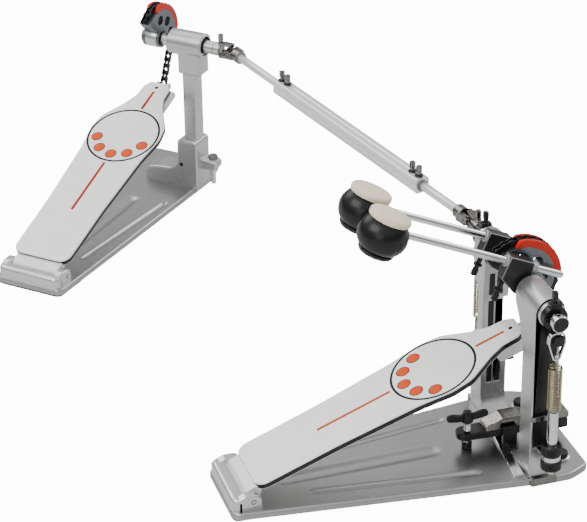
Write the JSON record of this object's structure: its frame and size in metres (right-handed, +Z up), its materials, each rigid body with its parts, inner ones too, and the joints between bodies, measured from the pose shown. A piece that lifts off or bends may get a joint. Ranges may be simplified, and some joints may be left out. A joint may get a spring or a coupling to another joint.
{
  "type": "double bass drum pedal",
  "caption": "Double bass drum pedal: a hoop-clamped pedal and a remote pedal joined by a jointed drive shaft, with chain-driven axles, felt beaters and return springs.",
  "frame": {"origin": "on the floor straight below the middle of the primary pedal's axle, between its two posts", "axes": "+X to the drummer's right along the primary axle, +Y from the heel towards the drum, +Z up"},
  "size_m": [0.9008, 0.4938, 0.3117],
  "materials": {
    "satin_cast_aluminium": "satin",
    "brushed_base": "brushed",
    "black_anodised": "satin",
    "chrome": "polished",
    "red_guide": "gloss",
    "orange_inlay": "satin",
    "black_chain": "oiled",
    "spring_steel": "wound wire",
    "black_rubber": "matt",
    "felt": "felted",
    "bulb_plastic": "semi-gloss",
    "cam_grey": "satin",
    "steel": "turned"
  },
  "bodies": {
    "root": {"primary_base_plate": "brushed_base", "secondary_base_plate": "brushed_base", "rubber_pads": "black_rubber", "heel_blocks": "satin_cast_aluminium", "hinge_pins": "steel", "spring_clevis_studs": "chrome", "spring_adjuster_nuts": "black_anodised", "post_brackets": "chrome", "primary_right_post": "satin_cast_aluminium", "primary_left_post": "satin_cast_aluminium", "post_inserts": "black_anodised", "axle_bearings": "steel", "secondary_column_socket": "satin_cast_aluminium", "secondary_column": "satin_cast_aluminium", "hoop_clamp_bracket": "steel", "anchor_spurs": "steel"},
    "primary_footboard": {"primary_footboard": "satin_cast_aluminium", "primary_board_inlays": "orange_inlay", "primary_toe_pin": "steel"},
    "secondary_footboard": {"secondary_footboard": "satin_cast_aluminium", "secondary_board_inlays": "orange_inlay", "secondary_toe_pin": "steel"},
    "primary_axle": {"primary_axle": "chrome", "primary_cam": "cam_grey", "primary_cam_rims": "red_guide", "primary_chain_wrap": "black_chain", "primary_beater_hub": "black_anodised", "primary_spring_rotor": "black_anodised", "primary_key_bolts": "black_anodised"},
    "primary_chain": {"primary_chain_drop": "black_chain"},
    "primary_spring_link": {"primary_spring_link": "chrome", "primary_return_spring": "spring_steel"},
    "primary_spring_foot": {"primary_spring_eye": "steel"},
    "primary_beater": {"primary_beater_rod": "chrome", "primary_beater_bulb": "bulb_plastic", "primary_beater_felt": "felt"},
    "secondary_axle": {"secondary_axle": "chrome", "secondary_cam": "cam_grey", "secondary_cam_rims": "red_guide", "secondary_chain_wrap": "black_chain"},
    "secondary_chain": {"secondary_chain_drop": "black_chain"},
    "drive_shaft": {"drive_inner_rods": "chrome", "drive_tube": "satin_cast_aluminium", "drive_clamp_bolts": "steel"},
    "left_cross": {"left_joint_cross": "chrome"},
    "right_cross": {"right_joint_cross": "chrome"},
    "second_axle": {"second_beater_axle": "chrome", "second_beater_hub": "black_anodised", "second_spring_rotor": "black_anodised", "second_key_bolts": "black_anodised"},
    "second_spring_link": {"second_spring_link": "chrome", "second_return_spring": "spring_steel"},
    "second_spring_foot": {"second_spring_eye": "steel"},
    "second_beater": {"second_beater_rod": "chrome", "second_beater_bulb": "bulb_plastic", "second_beater_felt": "felt"},
    "hoop_clamp": {"hoop_clamp_lever": "satin_cast_aluminium", "hoop_jaw_pad": "black_rubber"},
    "hoop_screw_foot": {"hoop_screw_foot": "black_anodised"},
    "hoop_wing_screw": {"hoop_wing_screw": "black_anodised"}
  },
  "joints": [
    {"name": "primary_footboard_press", "type": "hinge", "parent": "root", "child": "primary_footboard", "pos_m": [0, -0.2948, 0.0184], "axis": [-1, 0, 0], "range_deg": [0, 9]},
    {"name": "primary_axle_turn", "type": "hinge", "parent": "root", "child": "primary_axle", "pos_m": [0, 0, 0.2006], "axis": [-1, 0, 0], "range_deg": [0, 61.84], "stiffness_Nm_per_rad": 1.6, "springref_deg": -20.05},
    {"name": "primary_chain_swing", "type": "hinge", "parent": "primary_axle", "child": "primary_chain", "pos_m": [0, 0.04276, 0.20965], "axis": [1, 0, 0], "range_deg": [0, 83.64], "deforming": ["primary_chain_wrap", "primary_chain_drop"]},
    {"name": "secondary_footboard_press", "type": "hinge", "parent": "root", "child": "secondary_footboard", "pos_m": [-0.50362, -0.39454, 0.0184], "axis": [-0.7051, -0.7091, 0], "range_deg": [0, 9]},
    {"name": "secondary_axle_turn", "type": "hinge", "parent": "root", "child": "secondary_axle", "pos_m": [-0.71266, -0.18667, 0.2006], "axis": [-0.7051, -0.7091, 0], "range_deg": [0, 65.16]},
    {"name": "secondary_chain_swing", "type": "hinge", "parent": "secondary_axle", "child": "secondary_chain", "pos_m": [-0.74208, -0.15741, 0.21376], "axis": [0.7051, 0.7091, 0], "range_deg": [0, 81.74], "deforming": ["secondary_chain_wrap", "secondary_chain_drop"]},
    {"name": "drive_shaft_turn", "type": "hinge", "parent": "root", "child": "drive_shaft", "pos_m": [-0.63792, -0.11151, 0.2006], "axis": [-0.9769, -0.2136, 0], "range_deg": [0, 61.04]},
    {"name": "left_cross_swing", "type": "hinge", "parent": "drive_shaft", "child": "left_cross", "pos_m": [-0.63792, -0.11151, 0.2006], "axis": [0.2136, -0.9769, 0], "range_deg": [0, 29.59]},
    {"name": "right_cross_swing", "type": "hinge", "parent": "drive_shaft", "child": "right_cross", "pos_m": [-0.128, 0, 0.2006], "axis": [0.2136, -0.9769, 0], "range_deg": [-10.88, 0]},
    {"name": "second_beater_turn", "type": "hinge", "parent": "root", "child": "second_axle", "pos_m": [0, 0, 0.2006], "axis": [-1, 0, 0], "range_deg": [0, 61.62], "stiffness_Nm_per_rad": 1.6, "springref_deg": -20.05},
    {"name": "primary_link_swing", "type": "hinge", "parent": "primary_axle", "child": "primary_spring_link", "pos_m": [0.097, 0, 0.1796], "axis": [1, 0, 0], "range_deg": [0, 73.21]},
    {"name": "primary_spring_stretch", "type": "slide", "parent": "primary_spring_link", "child": "primary_spring_foot", "axis": [0, 0, -1], "range_m": [0, 0.01283], "deforming": ["primary_return_spring"]},
    {"name": "second_link_swing", "type": "hinge", "parent": "second_axle", "child": "second_spring_link", "pos_m": [-0.097, 0, 0.1796], "axis": [1, 0, 0], "range_deg": [0, 72.97]},
    {"name": "second_spring_stretch", "type": "slide", "parent": "second_spring_link", "child": "second_spring_foot", "axis": [0, 0, -1], "range_m": [0, 0.01276], "deforming": ["second_return_spring"]},
    {"name": "primary_beater_height", "type": "slide", "parent": "primary_axle", "child": "primary_beater", "axis": [0, -0.9135, 0.4067], "range_m": [-0.02, 0.015]},
    {"name": "second_beater_height", "type": "slide", "parent": "second_axle", "child": "second_beater", "axis": [0, -0.9135, 0.4067], "range_m": [-0.02, 0.015]},
    {"name": "hoop_clamp_close", "type": "hinge", "parent": "root", "child": "hoop_clamp", "pos_m": [0.006, -0.012, 0.029], "axis": [-1, 0, 0], "range_deg": [0, 4]},
    {"name": "hoop_screw_advance", "type": "slide", "parent": "hoop_clamp", "child": "hoop_screw_foot", "axis": [0, 0, -1], "range_m": [0, 0.00296]},
    {"name": "hoop_screw_turn", "type": "hinge", "parent": "hoop_screw_foot", "child": "hoop_wing_screw", "pos_m": [0.006, -0.054, 0], "axis": [0, 0, -1], "range_deg": [0, 852.21]}
  ],
  "couplings": [
    {"joint": "primary_axle_turn", "follows": "primary_footboard_press", "ratio": 6.8036},
    {"joint": "primary_chain_swing", "follows": "primary_footboard_press", "ratio": 9.2009},
    {"joint": "secondary_axle_turn", "follows": "secondary_footboard_press", "ratio": 7.1686},
    {"joint": "secondary_chain_swing", "follows": "secondary_footboard_press", "ratio": 8.9922},
    {"joint": "drive_shaft_turn", "follows": "secondary_footboard_press", "ratio": 6.7156},
    {"joint": "left_cross_swing", "follows": "secondary_footboard_press", "ratio": 3.2552},
    {"joint": "right_cross_swing", "follows": "secondary_footboard_press", "ratio": -1.1967},
    {"joint": "second_beater_turn", "follows": "secondary_footboard_press", "ratio": 6.779},
    {"joint": "primary_link_swing", "follows": "primary_footboard_press", "ratio": 8.0542},
    {"joint": "primary_spring_stretch", "follows": "primary_footboard_press", "m_per_rad": 0.080899},
    {"joint": "second_link_swing", "follows": "secondary_footboard_press", "ratio": 8.028},
    {"joint": "second_spring_stretch", "follows": "secondary_footboard_press", "m_per_rad": 0.080406},
    {"joint": "hoop_screw_advance", "follows": "hoop_clamp_close", "m_per_rad": 0.041966},
    {"joint": "hoop_screw_turn", "follows": "hoop_clamp_close", "ratio": 210.94}
  ]
}
